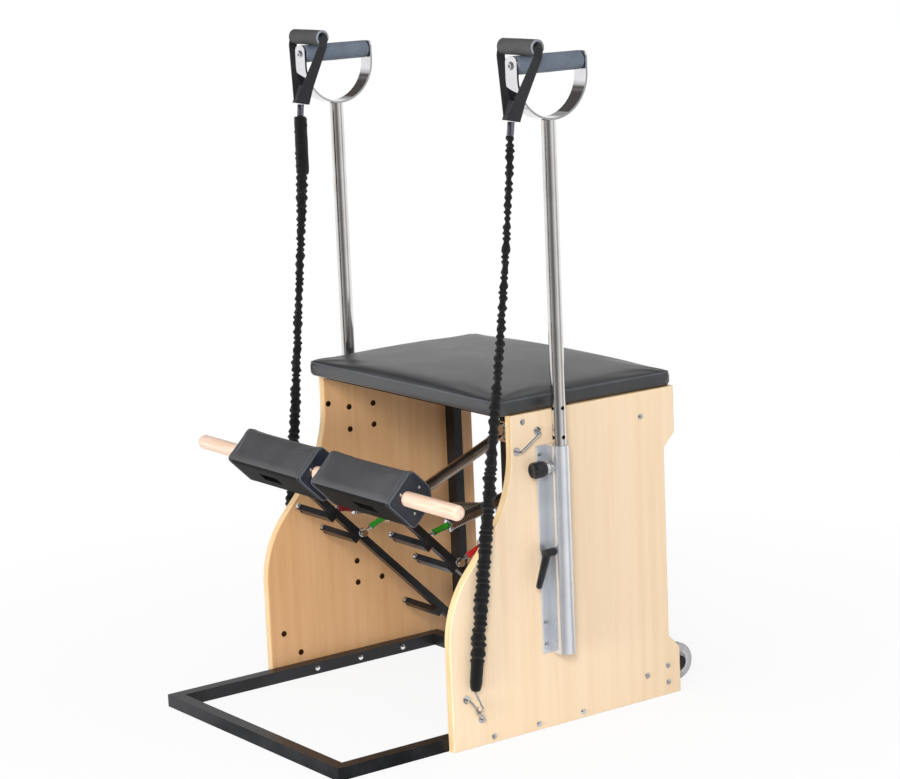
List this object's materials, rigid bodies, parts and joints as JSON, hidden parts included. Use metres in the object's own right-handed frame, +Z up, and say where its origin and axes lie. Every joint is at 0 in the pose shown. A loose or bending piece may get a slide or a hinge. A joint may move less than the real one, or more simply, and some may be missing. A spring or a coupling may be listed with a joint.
{
  "type": "pilates chair",
  "caption": "Wooden pilates chair with a padded seat, sprung padded pedals joined by a dowel, raised handle poles and elastic pull cords.",
  "frame": {"origin": "on the floor, under the middle of the chair's extent in X and Y", "axes": "+Z up, -Y to the front where the pedals are, +X to the right of someone who looks along +Y"},
  "size_m": [0.89, 0.862, 1.3178],
  "materials": {
    "maple": "satin lacquered maple plywood",
    "black_vinyl": "matte upholstery vinyl over foam",
    "black_board": "black painted board",
    "black_steel": "satin black powder coat",
    "bright_steel": "bright plated steel",
    "pole_steel": "polished stainless tube",
    "aluminium": "satin anodised extrusion",
    "beech": "satin beech",
    "spring_wire": "nickel plated spring wire",
    "green_hook": "gloss green sleeve on a plated hook",
    "red_hook": "gloss red sleeve on a plated hook",
    "grey_foam": "matte foam",
    "black_plastic": "matte moulded plastic",
    "black_webbing": "woven webbing",
    "cord_fabric": "gathered fabric sleeve over elastic",
    "tyre_rubber": "light grey rubber"
  },
  "bodies": {
    "chassis": {"left_side_panel": "maple", "right_side_panel": "maple", "left_pole_bracket": "aluminium", "right_pole_bracket": "aluminium", "left_cord": "cord_fabric", "right_cord": "cord_fabric", "left_cord_cuff": "cord_fabric", "right_cord_cuff": "cord_fabric", "left_cord_hook": "bright_steel", "right_cord_hook": "bright_steel", "seat_board": "black_board", "seat_cushion": "black_vinyl", "base_frame": "black_steel", "rear_posts": "black_steel", "rear_cross_rail": "black_steel", "spring_rails": "black_steel", "spring_eyes": "bright_steel", "hinge_pins": "bright_steel", "bracket_screws": "bright_steel", "panel_bolts": "bright_steel", "cord_anchors": "bright_steel", "wheel_brackets": "black_steel", "plunger_collars": "bright_steel"},
    "dowel": {"dowel": "beech"},
    "left_pedal": {"left_pedal_arm": "black_steel", "left_pedal_cushion": "black_vinyl", "left_pedal_board": "black_board", "left_spring_pegs": "black_steel", "left_spring_studs": "bright_steel"},
    "left_pole": {"left_pole": "pole_steel", "left_handle_strap": "bright_steel", "left_foam_grip": "grey_foam", "left_pull_grip": "black_plastic", "left_pull_webbing": "black_webbing"},
    "left_plunger": {"left_plunger_knob": "black_plastic"},
    "left_lever": {"left_clamp_lever": "black_plastic"},
    "left_wheel": {"left_wheel_tyre": "tyre_rubber", "left_wheel_hub": "black_plastic"},
    "left_lower_hook": {"left_lower_snap_hook": "green_hook"},
    "left_lower_coil": {"left_lower_spring": "spring_wire"},
    "left_upper_hook": {"left_upper_snap_hook": "red_hook"},
    "left_upper_coil": {"left_upper_spring": "spring_wire"},
    "right_pedal": {"right_pedal_arm": "black_steel", "right_pedal_cushion": "black_vinyl", "right_pedal_board": "black_board", "right_spring_pegs": "black_steel", "right_spring_studs": "bright_steel"},
    "right_pole": {"right_pole": "pole_steel", "right_handle_strap": "bright_steel", "right_foam_grip": "grey_foam", "right_pull_grip": "black_plastic", "right_pull_webbing": "black_webbing"},
    "right_plunger": {"right_plunger_knob": "black_plastic"},
    "right_lever": {"right_clamp_lever": "black_plastic"},
    "right_wheel": {"right_wheel_tyre": "tyre_rubber", "right_wheel_hub": "black_plastic"},
    "right_lower_hook": {"right_lower_snap_hook": "red_hook"},
    "right_lower_coil": {"right_lower_spring": "spring_wire"},
    "right_upper_hook": {"right_upper_snap_hook": "green_hook"},
    "right_upper_coil": {"right_upper_spring": "spring_wire"}
  },
  "joints": [
    {"name": "left_pedal_hinge", "type": "hinge", "parent": "chassis", "child": "left_pedal", "pos_m": [-0.165, 0.2235, 0.046], "axis": [1, 0, 0], "range_deg": [0, 40], "stiffness_Nm_per_rad": 60, "springref_deg": -28.65},
    {"name": "left_pole_slide", "type": "slide", "parent": "chassis", "child": "left_pole", "axis": [0, 0, 1], "range_m": [-0.112, 0.112], "deforming": ["left_cord"]},
    {"name": "left_plunger_pull", "type": "slide", "parent": "chassis", "child": "left_plunger", "axis": [0, -1, 0], "range_m": [0, 0.008], "stiffness_N_per_m": 800, "springref_m": -0.004},
    {"name": "left_lever_turn", "type": "hinge", "parent": "chassis", "child": "left_lever", "pos_m": [-0.35, 0.05, 0.352], "axis": [0, 1, 0], "range_deg": [-10, 100]},
    {"name": "left_wheel_spin", "type": "hinge", "parent": "chassis", "child": "left_wheel", "pos_m": [-0.285, 0.3935, 0.052], "axis": [1, 0, 0], "continuous": true},
    {"name": "left_lower_hook_swing", "type": "hinge", "parent": "left_pedal", "child": "left_lower_hook", "pos_m": [-0.147, -0.05103, 0.31879], "axis": [1, 0, 0], "range_deg": [-22.95, 0.2]},
    {"name": "left_lower_spring_stretch", "type": "slide", "parent": "left_lower_hook", "child": "left_lower_coil", "axis": [0, 0.9276, 0.3736], "range_m": [-0.001, 0.2213], "deforming": ["left_lower_spring"]},
    {"name": "left_upper_hook_swing", "type": "hinge", "parent": "left_pedal", "child": "left_upper_hook", "pos_m": [-0.183, -0.10542, 0.37187], "axis": [1, 0, 0], "range_deg": [-9.01, 0.2]},
    {"name": "left_upper_spring_stretch", "type": "slide", "parent": "left_upper_hook", "child": "left_upper_coil", "axis": [0, 0.9855, -0.1697], "range_m": [-0.001, 0.1682], "deforming": ["left_upper_spring"]},
    {"name": "right_pedal_hinge", "type": "hinge", "parent": "chassis", "child": "right_pedal", "pos_m": [0.165, 0.2235, 0.046], "axis": [1, 0, 0], "range_deg": [0, 40], "stiffness_Nm_per_rad": 60, "springref_deg": -28.65},
    {"name": "right_pole_slide", "type": "slide", "parent": "chassis", "child": "right_pole", "axis": [0, 0, 1], "range_m": [-0.112, 0.112], "deforming": ["right_cord"]},
    {"name": "right_plunger_pull", "type": "slide", "parent": "chassis", "child": "right_plunger", "axis": [0, -1, 0], "range_m": [0, 0.008], "stiffness_N_per_m": 800, "springref_m": -0.004},
    {"name": "right_lever_turn", "type": "hinge", "parent": "chassis", "child": "right_lever", "pos_m": [0.35, 0.05, 0.352], "axis": [0, -1, 0], "range_deg": [-10, 100]},
    {"name": "right_wheel_spin", "type": "hinge", "parent": "chassis", "child": "right_wheel", "pos_m": [0.285, 0.3935, 0.052], "axis": [1, 0, 0], "continuous": true},
    {"name": "right_lower_hook_swing", "type": "hinge", "parent": "right_pedal", "child": "right_lower_hook", "pos_m": [0.183, -0.05103, 0.31879], "axis": [1, 0, 0], "range_deg": [-22.95, 0.2]},
    {"name": "right_lower_spring_stretch", "type": "slide", "parent": "right_lower_hook", "child": "right_lower_coil", "axis": [0, 0.9276, 0.3736], "range_m": [-0.001, 0.2213], "deforming": ["right_lower_spring"]},
    {"name": "right_upper_hook_swing", "type": "hinge", "parent": "right_pedal", "child": "right_upper_hook", "pos_m": [0.147, -0.10542, 0.37187], "axis": [1, 0, 0], "range_deg": [-18.08, 0.2]},
    {"name": "right_upper_spring_stretch", "type": "slide", "parent": "right_upper_hook", "child": "right_upper_coil", "axis": [0, 0.976, 0.2178], "range_m": [-0.001, 0.2422], "deforming": ["right_upper_spring"]},
    {"name": "dowel_slide", "type": "slide", "parent": "left_pedal", "child": "dowel", "axis": [1, 0, 0], "range_m": [-0.16, 0.16]}
  ],
  "couplings": [
    {"joint": "left_lower_hook_swing", "follows": "left_pedal_hinge", "ratio": -0.56881},
    {"joint": "left_lower_spring_stretch", "follows": "left_pedal_hinge", "m_per_rad": 0.31563},
    {"joint": "left_upper_hook_swing", "follows": "left_pedal_hinge", "ratio": -0.22014},
    {"joint": "left_upper_spring_stretch", "follows": "left_pedal_hinge", "m_per_rad": 0.23949},
    {"joint": "right_lower_hook_swing", "follows": "left_pedal_hinge", "ratio": -0.56881},
    {"joint": "right_lower_spring_stretch", "follows": "left_pedal_hinge", "m_per_rad": 0.31563},
    {"joint": "right_upper_hook_swing", "follows": "left_pedal_hinge", "ratio": -0.44692},
    {"joint": "right_upper_spring_stretch", "follows": "left_pedal_hinge", "m_per_rad": 0.34552},
    {"joint": "right_pedal_hinge", "follows": "left_pedal_hinge", "ratio": 1}
  ]
}
